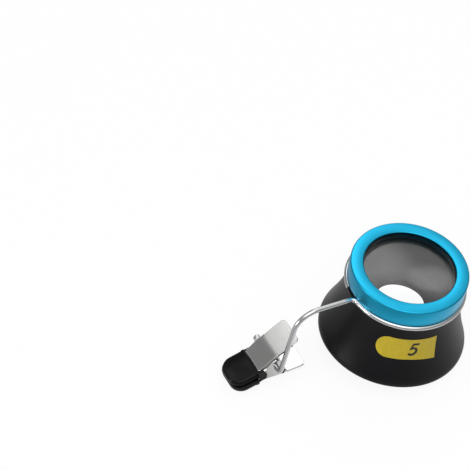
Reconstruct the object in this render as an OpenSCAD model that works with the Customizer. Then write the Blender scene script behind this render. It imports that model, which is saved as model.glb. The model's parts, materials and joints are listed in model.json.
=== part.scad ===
// Clip-on spectacle loupe: a turned eye cup with a screwed lens ring, carried by one bent
// steel wire whose far end is the hinge axle of a sprung clip with moulded jaw boots.
// Millimetres. The optical axis is +Z, the eye rim lies on z = 0, and the clip points along -X.

/* [Eye cup] */
// Outer radius of the eye rim
rim_r = 22; // [19:0.5:26]
// Radial wall of the cup at the eye rim
rim_wall = 1.2; // [1:0.1:2]
// Height of the straight land round the eye rim
rim_land = 1.2; // [0.8:0.1:2]
// Height of the cup from the eye rim to the hoop groove
flare_h = 20.5; // [16:0.5:26]
// Radius of the cup at the shoulder under the hoop groove
shoulder_r = 17.3; // [17.1:0.1:18]
// How fast the flare turns from the shoulder into the skirt
flare_power = 1.75; // [1.2:0.05:2.4]
// Radius of the hoop groove in the neck
groove_r = 16.6; // [16.2:0.1:16.8]
// Radius of the bore through the neck
neck_bore_r = 14.3; // [13:0.1:14.5]

/* [Lens and ring] */
// Outer radius of the lens ring
ring_r = 17.5; // [17:0.1:18]
// Height of the lens ring
ring_h = 5.9; // [5:0.1:8]
// Radius of the viewing opening in the lens ring
opening_r = 13.6; // [12:0.1:14.2]
// Depth of the viewing opening, from the top of the ring to the lip that holds the lens
opening_depth = 2.3; // [2:0.1:2.6]
// Bevel on the edges of the lens ring
ring_bevel = 0.25; // [0.1:0.05:0.4]
// Radius of the thread between neck and lens ring
thread_r = 15.9; // [15.6:0.1:16]
// Radius of the lens
lens_r = 15; // [14.7:0.1:15.2]
// Thickness of the lens at its edge
lens_edge = 1.4; // [1:0.1:1.6]
// Radius of curvature of each lens face, about 130 mm focal length in crown glass
lens_curve_r = 135; // [110:5:160]
// Thickness of the seating gasket under the lens
gasket_t = 0.4; // [0.3:0.05:0.6]

/* [Wire frame] */
// Diameter of the steel wire
wire_d = 1.5; // [1.2:0.1:1.6]
// Angle left open in the hoop, from the arm to the free end
hoop_gap = 14; // [8:1:30]
// Radius of the sharp bend from hoop to arm
hoop_bend_r = 1.6; // [1.2:0.1:2]
// Distance from the optical axis to the top corner of the arm
arm_reach = 36.2; // [34:0.2:42]
// Rise of the arm on its way out
arm_rise = 0.4; // [0:0.1:1]
// Radius of the arm's large bend
arm_bend_r = 6.6; // [4:0.2:9]
// Radius of the bend from arm to axle
axle_bend_r = 1.4; // [1.2:0.1:1.8]
// How far the arm leans outwards from its top corner down to the axle
arm_lean = 1.4; // [0.4:0.1:3]
// Drop of the clip axle below the eye rim
axle_drop = 3.2; // [0:0.2:6]
// Outer radius of the cap pressed on the end of the axle
cap_r = 1.05; // [0.95:0.05:1.4]
// Length of the cap
cap_l = 1.6; // [1.2:0.1:2.5]

/* [Clip plates] */
// Thickness of the stamped sheet
sheet_t = 0.6; // [0.5:0.05:0.8]
// Downward tilt of the closed jaws from the eye rim's plane
clip_tilt = 18.5; // [10:0.5:25]
// How far the plane between the closed jaws lies below the axle
seam_drop = 0.6; // [0.4:0.1:0.8]
// Slope of the upper plate at its ears, from the closed jaws' plane
upper_ear_flare = 26; // [25:0.5:27]
// Slope of the lower plate at its ears
lower_ear_flare = 19.5; // [18:0.5:21]
// Slope of the upper plate's handle
upper_handle_flare = 17.5; // [15:0.5:20]
// Slope of the lower plate's handle
lower_handle_flare = 13; // [11:0.5:16]
// Radius of the bends in the sheet
sheet_bend_r = 1.5; // [1:0.1:2]
// Distance from the axle to the middle of the upper plate
upper_lift = 3.1; // [3:0.1:3.2]
// Distance from the axle to the middle of the lower plate
lower_drop = 3.7; // [3.5:0.1:3.9]
// Distance from the axle back to the bend where the upper plate's jaw starts
upper_jaw_start = 5.7; // [5.5:0.1:5.8]
// Distance from the axle back to the bend where the lower plate's jaw starts
lower_jaw_start = 6.6; // [6.2:0.1:7]
// Distance from the axle to the bend where the upper handle starts
upper_handle_start = 0.8; // [0.4:0.1:1.2]
// Distance from the axle to the bend where the lower handle starts
lower_handle_start = 0.3; // [0.1:0.1:1]
// Distance from the axle to the end of the handles
handle_l = 8.8; // [8:0.2:12]
// Width of the upper handle
upper_handle_w = 8.8; // [7.6:0.2:9]
// Width of the upper plate across its ears
upper_ear_w = 9.2; // [9:0.1:9.3]
// Width of the lower plate across its ears
lower_ear_w = 10.8; // [10.7:0.1:11.4]
// Radius of the ears round the axle
ear_r = 2; // [1.8:0.1:2.2]
// Corner radius at the end of the handles
handle_corner_r = 1.3; // [0.8:0.1:2]
// Radial clearance of the axle in the ears and of the hoop in its groove
running_fit = 0.05; // [0.03:0.01:0.1]

/* [Jaw boots] */
// Distance from the axle to the tip of the boots
boot_reach = 14.2; // [13.6:0.1:15.5]
// Width of the upper boot
upper_boot_w = 10.4; // [10:0.1:10.5]
// Width of the lower boot
lower_boot_w = 11.6; // [11.4:0.1:12.2]
// Height of the upper boot from the closed jaws' plane
upper_boot_h = 2.3; // [2.2:0.1:2.8]
// Height of the lower boot from the closed jaws' plane
lower_boot_h = 2.9; // [2.8:0.1:3.4]
// Corner radius of the boots' tips, seen from above
boot_tip_r = 4.6; // [3.5:0.1:5]
// Squareness of the boots' shoulders: 2 is an ellipse and more is squarer
boot_square = 3.2; // [2:0.1:4]
// Gap between the closed boots
jaw_gap = 0.1; // [0.06:0.02:0.2]

/* [Torsion spring] */
// Diameter of the spring wire
spring_d = 0.6; // [0.5:0.05:0.65]
// Mean radius of the coil
coil_r = 1.45; // [1.35:0.05:1.5]
// Length of the coil along the axle
coil_l = 6.2; // [6.2:0.1:7]
// Whole turns of the coil, before the last part turn
coil_turns = 5; // [3:1:5]
// How far along the handles the spring legs reach
leg_reach = 6.6; // [5:0.1:7.4]

/* [Hidden] */
eps = 0.01;
round_fn = 180;
wire_r = wire_d / 2;
axle_reach = arm_reach + arm_lean;
rim_bore_r = rim_r - rim_wall;
groove_h = wire_d + 2 * running_fit;
ring_z0 = flare_h + groove_h;
ring_top = ring_z0 + ring_h;
// The lip touches the lens face at the opening's edge, and the gasket fills in under the lower face
lip_z = ring_top - opening_depth;
lens_fit = 0.05;
seat_fit = 0.005;
lens_top_z = lip_z - lens_rise(opening_r) - seat_fit;
lens_low_z = lens_top_z - lens_edge;
seat_z = lens_low_z - lens_rise(neck_bore_r) - gasket_t;
neck_top = lip_z - 0.1;
thread_clear = 0.02;
hoop_r = groove_r + running_fit + wire_r;
hoop_z = flare_h + groove_h / 2;
// Angle by which the arm's bend begins ahead of the arm
hoop_lead = 6;
flare_steps = 28;

// The clip's own frame: u along the closed jaws towards the handles, w square to them
ear_gap = 0.4;
clip_y = axle_bend_r + ear_gap + lower_ear_w / 2;
cap_end_wall = 0.25;
cap_fit = 0.01;
axle_len = clip_y + lower_ear_w / 2 + ear_gap + cap_l - cap_end_wall;
hole_r = wire_r + running_fit;
// Walls of a boot round the sheet at its sides and its tip, and its lap over the bend at the back
boot_wall = 1;
jaw_l = boot_reach - 1.4 * boot_wall;
upper_jaw_width = upper_boot_w - 2 * boot_wall;
lower_jaw_width = lower_boot_w - 2 * boot_wall;
boot_back = 0.4;
boot_steps = 6;
boot_draw_in = 1.3;
cheek_t = (lower_boot_w - lower_ear_w) / 2;
// Each sheet: distance from the axle, start of the jaw, slope at the ears, start and slope of the handle
upper_sheet = [upper_lift, upper_jaw_start, upper_ear_flare, upper_handle_start, upper_handle_flare];
lower_sheet = [lower_drop, lower_jaw_start, lower_ear_flare, lower_handle_start, lower_handle_flare];
bend_steps = 4;
// Part of the upper plate from its narrow neck to the back of its ears
ear_front = upper_jaw_start - 0.8;
ear_back = 1.6;
neck_w = upper_ear_w - 1.1;
// The lower ears reach up beside the upper plate: their free edge in u and w, from the front to the back
lower_ear_edge = [[1.7 - lower_jaw_start, 0.6], [3.1 - lower_jaw_start, -2], [4.6 - lower_jaw_start, -3.2],
                  [6.7 - lower_jaw_start, -3.9], [7.9 - lower_jaw_start, -3]];
// Side views of the lower boot's cheeks round the front of the ears: the one by the wire arm is taller
tall_cheek = [[-0.7, 0.7], [-0.7, 2.2], [1.2, 1.6], [2.7, 1.7],
              [3.2, -0.3], [2.1, -3.6], [0.5, -2.8], [0.6, 0.7]];
low_cheek = [[-0.7, 0.7], [-0.7, 2.2], [1.2, 1.6], [2.7, 1.7], [3.1, 0.5], [0.6, 0.5]];

// Spring: both legs leave the coil as tangents and rest on the inner faces of the handles
spring_r = spring_d / 2;
leg_seat = 0.04;
upper_leg_a = leg_angle(leg_end_w(upper_sheet));
lower_leg_a = leg_angle(leg_end_w(lower_sheet));
coil_start = 90 + upper_leg_a;
coil_turned = 360 * coil_turns + 180 - upper_leg_a - lower_leg_a;
coil_rings = round(8 * coil_turned / 360);
spring_sides = 6;

// Height over the axle at which a leg's end rests under a sheet
function leg_end_w(sheet) =
    sheet_w(sheet, leg_reach) - (sheet_t / 2 + spring_r + leg_seat) / cos(sheet[4]);

// Slope of a leg that leaves the coil as a tangent and is end_w above the axle at leg_reach
function leg_angle(end_w, a = 20, n = 6) =
    n == 0 ? a : leg_angle(end_w, atan((end_w - coil_r * cos(a)) / (leg_reach + coil_r * sin(a))), n - 1);

// Height of the middle of a sheet over the axle, from the jaw bend backwards
function sheet_w(sheet, u) = sheet[0] / cos(sheet[2]) + min(u, sheet[3]) * tan(sheet[2])
    + max(u - sheet[3], 0) * tan(sheet[4]);

// Points of a round bend in the sheet at corner p from slope a to slope b, each with its slope
function sheet_bend(p, a, b) =
    let (turn = sign(b - a), take = sheet_bend_r * tan(abs(b - a) / 2), start = p - take * [cos(a), sin(a)])
    [for (k = [0 : bend_steps]) let (s = a + (b - a) * k / bend_steps)
        concat(start + turn * sheet_bend_r * [sin(s) - sin(a), cos(a) - cos(s)], s)];

// Radius of the cup's outer skirt and of its inside at a height above the eye rim
function skirt_r(z) = shoulder_r + (rim_r - shoulder_r)
    * pow(1 - (z - rim_land) / (flare_h - rim_land), flare_power);
function inside_r(z) = neck_bore_r + (rim_bore_r - neck_bore_r)
    * pow(1 - (z - rim_land) / (flare_h - rim_land), flare_power);

// Height of a lens face above its own edge at a radius from the axis
function lens_rise(r) = sqrt(pow(lens_curve_r, 2) - r * r) - sqrt(pow(lens_curve_r, 2) - lens_r * lens_r);

function unit(v) = v / norm(v);

// Helix of the coil with its two straight legs; y runs along the axle
function coil_point(i) = let (a = coil_start + coil_turned * i / coil_rings)
    [coil_r * cos(a), coil_l * (i / coil_rings - 0.5), coil_r * sin(a)];
function coil_out(i) = let (a = coil_start + coil_turned * i / coil_rings) [cos(a), 0, sin(a)];
function coil_dir(i) = let (a = coil_start + coil_turned * i / coil_rings)
    unit([-sin(a) * coil_r * coil_turned * PI / 180, coil_l, cos(a) * coil_r * coil_turned * PI / 180]);
function leg_len(a) = (leg_reach + coil_r * sin(a)) / cos(a);
spring_path = concat(
    [coil_point(0) - leg_len(upper_leg_a) * coil_dir(0)],
    [for (i = [0 : coil_rings]) coil_point(i)],
    [coil_point(coil_rings) + leg_len(lower_leg_a) * coil_dir(coil_rings)]);
spring_out = concat([coil_out(0)], [for (i = [0 : coil_rings]) coil_out(i)], [coil_out(coil_rings)]);
spring_dir = concat([coil_dir(0)], [for (i = [0 : coil_rings]) coil_dir(i)], [coil_dir(coil_rings)]);
// Points nearer than half a turn along the wire are neighbours and not a gap
self_gap = min([for (i = [0 : len(spring_path) - 6], j = [i + 5 : len(spring_path) - 1])
    norm(spring_path[i] - spring_path[j])]) - spring_d;
echo(torsion_spring_least_gap = self_gap);

// Sweeps a round tube along points, with a given outward direction at each
module tube(path, outward, along, r, sides) {
    rings = [for (i = [0 : len(path) - 1], k = [0 : sides - 1])
        let (side = cross(along[i], outward[i]), a = 360 * k / sides)
        path[i] + r * (cos(a) * outward[i] + sin(a) * side)];
    last = (len(path) - 1) * sides;
    polyhedron(rings, concat(
        [for (i = [0 : len(path) - 2], k = [0 : sides - 1])
            [i * sides + k, i * sides + (k + 1) % sides, (i + 1) * sides + k]],
        [for (i = [0 : len(path) - 2], k = [0 : sides - 1])
            [i * sides + (k + 1) % sides, (i + 1) * sides + (k + 1) % sides, (i + 1) * sides + k]],
        [for (k = [1 : sides - 2]) [0, k + 1, k]],
        [for (k = [1 : sides - 2]) [last, last + k, last + k + 1]]));
}

// Straight stretch of wire between two points
module wire_run(a, b) {
    d = b - a;
    tilt = acos(d[2] / norm(d));
    turn = atan2(d[1], d[0]);
    translate(a) rotate([0, tilt, turn]) cylinder(r = wire_r, h = norm(d), $fn = 48);
}

// Round bend at corner p from direction d1 to direction d2, with centre-line radius r
module wire_bend(p, d1, d2, r) {
    turned = acos(d1 * d2);
    over = bend_over(r);
    inward = unit(d2 - d1 * (d1 * d2));
    normal = cross(-inward, d1);
    centre = p - d1 * r * tan(turned / 2) + inward * r;
    multmatrix([[-inward[0], d1[0], normal[0], centre[0]],
                [-inward[1], d1[1], normal[1], centre[1]],
                [-inward[2], d1[2], normal[2], centre[2]],
                [0, 0, 0, 1]])
        rotate([0, 0, -over]) rotate_extrude(angle = turned + 2 * over, $fn = 96)
            translate([r, 0]) circle(r = wire_r - bend_inset, $fn = 48);
}

// A bend is a hair thinner than the runs and turns on into them by this angle, so that they join
bend_inset = 0.004;
function bend_over(r) = acos(1 - 0.001 / r);

// Length that a bend takes from each of its two straight runs
function bend_take(d1, d2, r) = r * tan(acos(d1 * d2) / 2);

// Places the clip's own frame on the axle
module on_axle() {
    translate([-axle_reach, clip_y, -axle_drop]) rotate([0, -clip_tilt, 0]) children();
}

// Extrudes a side view in u and w across the clip, centred on y = 0 or from y0
module side_view(width, y0 = undef) {
    start = is_undef(y0) ? -width / 2 : y0;
    translate([0, start + width, 0]) rotate([90, 0, 0]) linear_extrude(width) children();
}

// Side view of a bent sheet: jaws parallel to u, then the slope at the ears, then the handle's
module sheet_side(sheet, thick) {
    jaw_w = sheet_w(sheet, -sheet[1]);
    line = concat(
        [[-jaw_l, jaw_w, 0]],
        sheet_bend([-sheet[1], jaw_w], 0, sheet[2]),
        sheet_bend([sheet[3], sheet_w(sheet, sheet[3])], sheet[2], sheet[4]),
        [[handle_l, sheet_w(sheet, handle_l), sheet[4]]]);
    polygon(concat(
        [for (p = line) [p[0], p[1]] + thick / 2 * [sin(p[2]), -cos(p[2])]],
        [for (i = [len(line) - 1 : -1 : 0]) let (p = line[i])
            [p[0], p[1]] + thick / 2 * [-sin(p[2]), cos(p[2])]]));
}

// Seen from above: a bar from u0 to u1 whose corners at one end are round
module rounded_bar(u0, u1, width, corner_r, at_tip) {
    s = at_tip ? -1 : 1;
    round_u = at_tip ? u0 : u1;
    flat_u = at_tip ? u1 : u0;
    inner = round_u - s * corner_r;
    polygon(concat(
        [[flat_u, -width / 2], [inner, -width / 2]],
        [for (a = [10 : 10 : 80]) [inner + s * corner_r * sin(a), -width / 2 + corner_r * (1 - cos(a))]],
        [[round_u, -width / 2 + corner_r], [round_u, width / 2 - corner_r]],
        [for (a = [80 : -10 : 10]) [inner + s * corner_r * sin(a), width / 2 - corner_r * (1 - cos(a))]],
        [[inner, width / 2], [flat_u, width / 2]]));
}

// The ear round the axle: a disc with its web to the plate, which lies on the +w side, and its free edge
module ear_side(sheet, front_u, back_u, edge) {
    difference() {
        union() {
            circle(r = ear_r, $fn = 64);
            polygon(concat(edge, [[back_u, sheet_w(sheet, back_u)], [front_u, sheet_w(sheet, front_u)]]));
        }
        circle(r = hole_r, $fn = 64);
    }
}

// Bent sheet cut to its outline from above
module cut_sheet(sheet, thick = sheet_t) {
    intersection() {
        side_view(lower_boot_w) sheet_side(sheet, thick);
        translate([0, 0, -handle_l]) linear_extrude(3 * handle_l) children();
    }
}

module upper_outline() {
    rounded_bar(-jaw_l, -upper_jaw_start, upper_jaw_width, boot_tip_r - boot_wall, true);
    translate([-upper_jaw_start - eps, -neck_w / 2]) square([upper_jaw_start, neck_w]);
    translate([-ear_front, -upper_ear_w / 2]) square([ear_front + ear_back, upper_ear_w]);
    rounded_bar(0, handle_l, upper_handle_w, handle_corner_r, false);
}

module upper_plate_solid() {
    cut_sheet(upper_sheet) upper_outline();
    for (s = [-1, 1])
        side_view(sheet_t, s * (upper_ear_w - sheet_t) / 2 - sheet_t / 2)
            ear_side(upper_sheet, -ear_front, ear_back,
                     [[-ear_r * 0.94, -ear_r * 0.34], [ear_r * 0.94, -ear_r * 0.34]]);
}

module lower_outline() {
    rounded_bar(-jaw_l, -lower_jaw_start, lower_jaw_width, boot_tip_r - boot_wall, true);
    rounded_bar(-lower_jaw_start - eps, handle_l, lower_ear_w, handle_corner_r, false);
}

// Drawn like the upper plate, ears up, and turned over by the mirror
module lower_plate_solid() {
    mirror([0, 0, 1]) {
        cut_sheet(lower_sheet) lower_outline();
        for (s = [-1, 1])
            side_view(sheet_t, s * (lower_ear_w - sheet_t) / 2 - sheet_t / 2)
                ear_side(lower_sheet, 1 - lower_jaw_start, ear_back + 1, lower_ear_edge);
    }
}

// Domed shell of a boot: slices of its outline drawn in along a quarter of a squared ellipse
module boot_dome(width, height, jaw_start) {
    hull() for (k = [0 : boot_steps]) {
        a = 90 * k / boot_steps;
        inset = boot_draw_in * (1 - pow(cos(a), 2 / boot_square));
        translate([0, 0, jaw_gap / 2 + (height - jaw_gap / 2 - eps) * pow(sin(a), 2 / boot_square)])
            linear_extrude(eps)
                rounded_bar(-boot_reach + inset * 0.8, -jaw_start + boot_back, width - 2 * inset,
                            boot_tip_r - inset * 0.8, true);
    }
}

module eye_cup() color([0.14, 0.13, 0.15]) {
    rotate_extrude($fn = round_fn)
        polygon(concat(
            [[rim_bore_r, 0], [rim_r, 0]],
            [for (i = [0 : flare_steps])
                let (z = rim_land + (flare_h - rim_land) * i / flare_steps) [skirt_r(z), z]],
            [[groove_r, flare_h], [groove_r, ring_z0], [thread_r, ring_z0], [thread_r, neck_top],
             [lens_r + lens_fit, neck_top], [lens_r + lens_fit, seat_z], [neck_bore_r, seat_z]],
            [for (i = [flare_steps : -1 : 0])
                let (z = rim_land + (flare_h - rim_land) * i / flare_steps) [inside_r(z), z]]));
}

module lens_ring() color([0.1, 0.62, 0.82]) {
    rotate_extrude($fn = round_fn)
        polygon([[thread_r + thread_clear, ring_z0], [ring_r - ring_bevel, ring_z0],
                 [ring_r, ring_z0 + ring_bevel], [ring_r, ring_top - ring_bevel],
                 [ring_r - ring_bevel, ring_top], [opening_r + ring_bevel, ring_top],
                 [opening_r, ring_top - ring_bevel], [opening_r, lip_z],
                 [thread_r + thread_clear, lip_z]]);
}

module lens() color([0.85, 0.93, 0.95, 0.35]) {
    bulge = lens_rise(0);
    intersection() {
        translate([0, 0, lens_low_z - bulge])
            cylinder(r = lens_r, h = lens_edge + 2 * bulge, $fn = round_fn);
        translate([0, 0, lens_top_z + bulge - lens_curve_r]) sphere(r = lens_curve_r, $fn = round_fn);
        translate([0, 0, lens_low_z - bulge + lens_curve_r]) sphere(r = lens_curve_r, $fn = round_fn);
    }
}

module lens_gasket() color([0.05, 0.05, 0.05]) {
    rotate_extrude($fn = round_fn)
        polygon([[neck_bore_r, seat_z], [lens_r, seat_z], [lens_r, lens_low_z - seat_fit],
                 [neck_bore_r, seat_z + gasket_t - seat_fit]]);
}

module wire_frame() color([0.78, 0.79, 0.8]) {
    lead_dir = [-sin(hoop_lead), cos(hoop_lead), 0];
    lead_start = hoop_r * [-cos(hoop_lead), -sin(hoop_lead), 0] + [0, 0, hoop_z];
    hoop_corner = lead_start + lead_dir * hoop_r * tan(hoop_lead);
    arm_corner = [-arm_reach, 0, hoop_z + arm_rise];
    axle_corner = [-axle_reach, 0, -axle_drop];
    arm_dir = unit(arm_corner - hoop_corner);
    drop_dir = unit(axle_corner - arm_corner);
    axle_dir = [0, 1, 0];
    hoop_take = bend_take(lead_dir, arm_dir, hoop_bend_r);
    arm_take = bend_take(arm_dir, drop_dir, arm_bend_r);
    axle_take = bend_take(drop_dir, axle_dir, axle_bend_r);
    over = bend_over(hoop_r);
    translate([0, 0, hoop_z]) rotate([0, 0, 180 + hoop_lead - over])
        rotate_extrude(angle = 360 - hoop_lead - hoop_gap + over, $fn = round_fn)
            translate([hoop_r, 0]) circle(r = wire_r - bend_inset, $fn = 48);
    wire_run(lead_start, hoop_corner - lead_dir * hoop_take);
    wire_bend(hoop_corner, lead_dir, arm_dir, hoop_bend_r);
    wire_run(hoop_corner + arm_dir * hoop_take, arm_corner - arm_dir * arm_take);
    wire_bend(arm_corner, arm_dir, drop_dir, arm_bend_r);
    wire_run(arm_corner + drop_dir * arm_take, axle_corner - drop_dir * axle_take);
    wire_bend(axle_corner, drop_dir, axle_dir, axle_bend_r);
    wire_run(axle_corner + axle_dir * axle_take, axle_corner + axle_dir * axle_len);
}

module axle_cap() color([0.6, 0.6, 0.62]) {
    cap_y = axle_len + cap_end_wall - cap_l;
    translate([-axle_reach, cap_y + cap_l, -axle_drop]) rotate([90, 0, 0]) difference() {
        cylinder(r = cap_r, h = cap_l, $fn = 48);
        translate([0, 0, cap_end_wall]) cylinder(r = wire_r + cap_fit, h = cap_l, $fn = 48);
    }
}

module clip_upper_plate() color([0.75, 0.75, 0.74]) on_axle() upper_plate_solid();

module clip_lower_plate() color([0.68, 0.68, 0.68]) on_axle() lower_plate_solid();

module upper_jaw_boot() color([0.06, 0.06, 0.06]) on_axle() difference() {
    translate([0, 0, -seam_drop]) boot_dome(upper_boot_w, upper_boot_h, upper_jaw_start);
    cut_sheet(upper_sheet, sheet_t + eps) upper_outline();
}

// The lower boot also wraps the front of the lower plate's ears with a cheek on each side
module lower_jaw_boot() color([0.06, 0.06, 0.06]) on_axle() mirror([0, 0, 1]) {
    difference() {
        translate([0, 0, seam_drop]) boot_dome(lower_boot_w, lower_boot_h, lower_jaw_start);
        cut_sheet(lower_sheet, sheet_t + eps) lower_outline();
    }
    for (s = [-1, 1])
        side_view(cheek_t, s * (lower_boot_w - cheek_t) / 2 - cheek_t / 2)
            translate([-lower_jaw_start, 0]) polygon(s < 0 ? tall_cheek : low_cheek);
}

module torsion_spring() color([0.3, 0.3, 0.31]) on_axle()
    tube(spring_path, spring_out, spring_dir, spring_r, spring_sides);

eye_cup();
lens_ring();
lens();
lens_gasket();
wire_frame();
axle_cap();
clip_upper_plate();
clip_lower_plate();
upper_jaw_boot();
lower_jaw_boot();
torsion_spring();
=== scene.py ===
"""Dresses the clip-on spectacle loupe: turned cup, ring and lens, bent wire, sprung clip.

Everything is in metres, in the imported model's own frame: the eye rim lies on z = 0, the optical
axis is +Z and the clip points along -X.
"""

import bisect
import json
import math

import bmesh
import bpy
from mathutils import Matrix, Vector


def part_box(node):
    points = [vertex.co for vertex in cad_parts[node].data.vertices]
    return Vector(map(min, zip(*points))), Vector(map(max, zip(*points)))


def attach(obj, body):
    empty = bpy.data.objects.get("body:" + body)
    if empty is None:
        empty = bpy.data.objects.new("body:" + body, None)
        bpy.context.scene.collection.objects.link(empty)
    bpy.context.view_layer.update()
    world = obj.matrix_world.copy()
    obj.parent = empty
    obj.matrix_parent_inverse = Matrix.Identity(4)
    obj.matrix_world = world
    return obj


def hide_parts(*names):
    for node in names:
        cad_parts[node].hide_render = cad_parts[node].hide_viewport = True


bl_info = {
    "name": "Clip-on spectacle loupe",
    "version": (1, 0, 0),
    "blender": (4, 5, 0),
    "location": "View3D > Sidebar > Loupe",
    "description": "Builds the finished pieces of a clip-on loupe round its packed model",
    "category": "Object",
}

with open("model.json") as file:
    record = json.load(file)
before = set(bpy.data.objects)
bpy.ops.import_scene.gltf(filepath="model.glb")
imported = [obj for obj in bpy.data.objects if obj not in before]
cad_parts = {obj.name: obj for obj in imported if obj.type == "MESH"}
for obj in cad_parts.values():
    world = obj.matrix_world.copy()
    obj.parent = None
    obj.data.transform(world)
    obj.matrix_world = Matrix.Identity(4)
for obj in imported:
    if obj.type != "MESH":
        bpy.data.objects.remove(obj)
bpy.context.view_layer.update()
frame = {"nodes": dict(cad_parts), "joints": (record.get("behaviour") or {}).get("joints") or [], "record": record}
MM = 0.001


def mount(name):
    """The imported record's mount of that name."""
    return next(m for m in frame["record"]["mounts"] if m["name"] == name)


def joint(name):
    """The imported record's joint of that name."""
    return next(j for j in frame["joints"] if j["name"] == name)


RIM_BORE_R = mount("eye_rim")["dims"]["r_mm"] * MM
RING_R = mount("lens_ring_outside")["dims"]["r_mm"] * MM
HOOP_Z = joint("hoop_swivel")["pos_m"][2]
AXLE = Vector(joint("clip_tilt")["pos_m"])
RIM_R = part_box("eye_cup")[1].x
RING_Z = (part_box("lens_ring")[0].z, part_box("lens_ring")[1].z)
LENS_Z = (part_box("lens")[0].z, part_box("lens")[1].z)
LENS_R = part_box("lens")[1].x
GASKET_Z = (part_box("lens_gasket")[0].z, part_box("lens_gasket")[1].z)
AXLE_END_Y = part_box("axle_cap")[1].y
JAWS = mount("jaws")["axis"]
CLIP_TILT = math.atan2(-JAWS[2], -JAWS[0])


def length_mm(label, description, size):
    """A length property whose default is in millimetres."""
    return bpy.props.FloatProperty(name=label, description=description, default=size * MM, unit="LENGTH")


def angle_deg(label, description, size):
    """An angle property whose default is in degrees."""
    start = math.radians(size)
    return bpy.props.FloatProperty(name=label, description=description, default=start, unit="ROTATION")


class LoupeSizes(bpy.types.PropertyGroup):
    """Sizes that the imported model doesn't state by itself."""

    steps_round: bpy.props.IntProperty(
        name="Steps round", description="Facets round every turned piece", default=192, min=24, max=512
    )
    shoulder_r: length_mm("Shoulder radius", "Cup radius under the hoop", 17.3)
    groove_r: length_mm("Groove radius", "Radius of the groove for the hoop", 16.6)
    neck_bore_r: length_mm("Neck bore", "Radius of the bore under the lens", 14.3)
    flare_h: length_mm("Flare height", "Height of the flared skirt", 20.5)
    rim_land: length_mm("Rim land", "Straight height at the eye rim", 1.2)
    flare_power: bpy.props.FloatProperty(
        name="Flare power", description="How fast the skirt turns outwards", default=1.75, min=1, max=3
    )
    opening_r: length_mm("Opening radius", "Clear opening of the lens ring", 13.6)
    lens_curve_r: length_mm("Lens curve", "Radius of each lens face", 135.0)
    wire_r: length_mm("Wire radius", "Radius of the frame's wire", 0.75)
    hoop_gap: angle_deg("Hoop gap", "Angle open in the hoop", 14)
    hoop_lead: angle_deg("Hoop lead", "Where the hoop leaves for the arm", 6)
    arm_reach: length_mm("Arm reach", "From the optical axis to the arm's corner", 36.2)
    arm_rise: length_mm("Arm rise", "Rise of the arm on its way out", 0.4)
    label_w: length_mm("Label length", "Length of the label round the cup", 17.9)
    label_h: length_mm("Label height", "Height of the label up the skirt", 7.2)


class ClipSizes(bpy.types.PropertyGroup):
    """Sizes of the sprung clip."""

    sheet_t: length_mm("Sheet", "Thickness of the stamped sheet", 0.6)
    jaw_bend_r: length_mm("Jaw bend", "Radius of the sheet's bend at the jaws", 5.0)
    handle_bend_r: length_mm("Handle bend", "Radius of the bend at the handles", 20.0)
    fold_r: length_mm("Fold", "Radius of the fold at each ear", 0.4)
    seam_drop: length_mm("Seam drop", "From the axle down to the jaws' seam", 0.6)
    upper_lift: length_mm("Upper lift", "From the axle to the upper plate", 3.1)
    lower_lift: length_mm("Lower lift", "From the axle to the lower plate", 3.7)
    upper_ear_slope: angle_deg("Upper ears", "Slope of the upper plate there", 26)
    lower_ear_slope: angle_deg("Lower ears", "Slope of the lower plate there", 19.5)
    upper_handle_slope: angle_deg("Upper handle", "Slope of the upper handle", 17.5)
    lower_handle_slope: angle_deg("Lower handle", "Slope of the lower handle", 13)
    handle_crown: angle_deg("Crown", "How far the upper handle curves", 8)
    upper_jaw_start: length_mm("Upper jaw", "From the axle to the upper jaw's bend", 5.7)
    lower_jaw_start: length_mm("Lower jaw", "From the axle to the lower jaw's bend", 6.6)
    upper_handle_start: length_mm("Upper bend", "From the axle to the upper handle's bend", 0.8)
    lower_handle_start: length_mm("Lower bend", "From the axle to the lower handle's bend", 0.3)
    jaw_l: length_mm("Jaws", "From the axle to the end of the sheet", 12.8)
    handle_l: length_mm("Handles", "From the axle to the handles' end", 8.8)
    ear_r: length_mm("Ears", "Radius of the ears round the axle", 2.0)
    hole_r: length_mm("Ear holes", "Radius of the holes for the axle", 0.8)
    boot_reach: length_mm("Boots", "From the axle to the boots' tip", 14.2)
    boot_tip_r: length_mm("Boot tips", "Corner radius of the boots' tips", 4.0)
    boot_draw_in: length_mm("Boot shoulders", "How far the shoulders draw in", 1.3)
    boot_square: bpy.props.FloatProperty(
        name="Squareness", description="2 is a round shoulder and more is squarer", default=3.2, min=2, max=6
    )
    jaw_gap: length_mm("Jaw gap", "Line between the closed boots", 0.1)
    spring_r: length_mm("Spring wire", "Radius of the spring's wire", 0.3)
    coil_r: length_mm("Coil radius", "Mean radius of the coil", 1.45)
    coil_l: length_mm("Coil length", "Length of the coil on the axle", 6.2)
    coil_turns: bpy.props.IntProperty(
        name="Coil turns", description="Whole turns before the last part turn", default=5, min=3, max=8
    )
    leg_reach: length_mm("Legs", "How far the legs reach along the handles", 6.6)


def linear(code):
    """Linear colour with alpha from an sRGB hex code."""
    parts = [int(code[i : i + 2], 16) / 255 for i in (0, 2, 4)]
    return tuple(c / 12.92 if c <= 0.04045 else ((c + 0.055) / 1.055) ** 2.4 for c in parts) + (1.0,)


def colour(name, description, code):
    """A colour property whose default is an sRGB hex code."""
    return bpy.props.FloatVectorProperty(
        name=name, description=description, subtype="COLOR", size=4, min=0, max=1, default=linear(code)
    )


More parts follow.
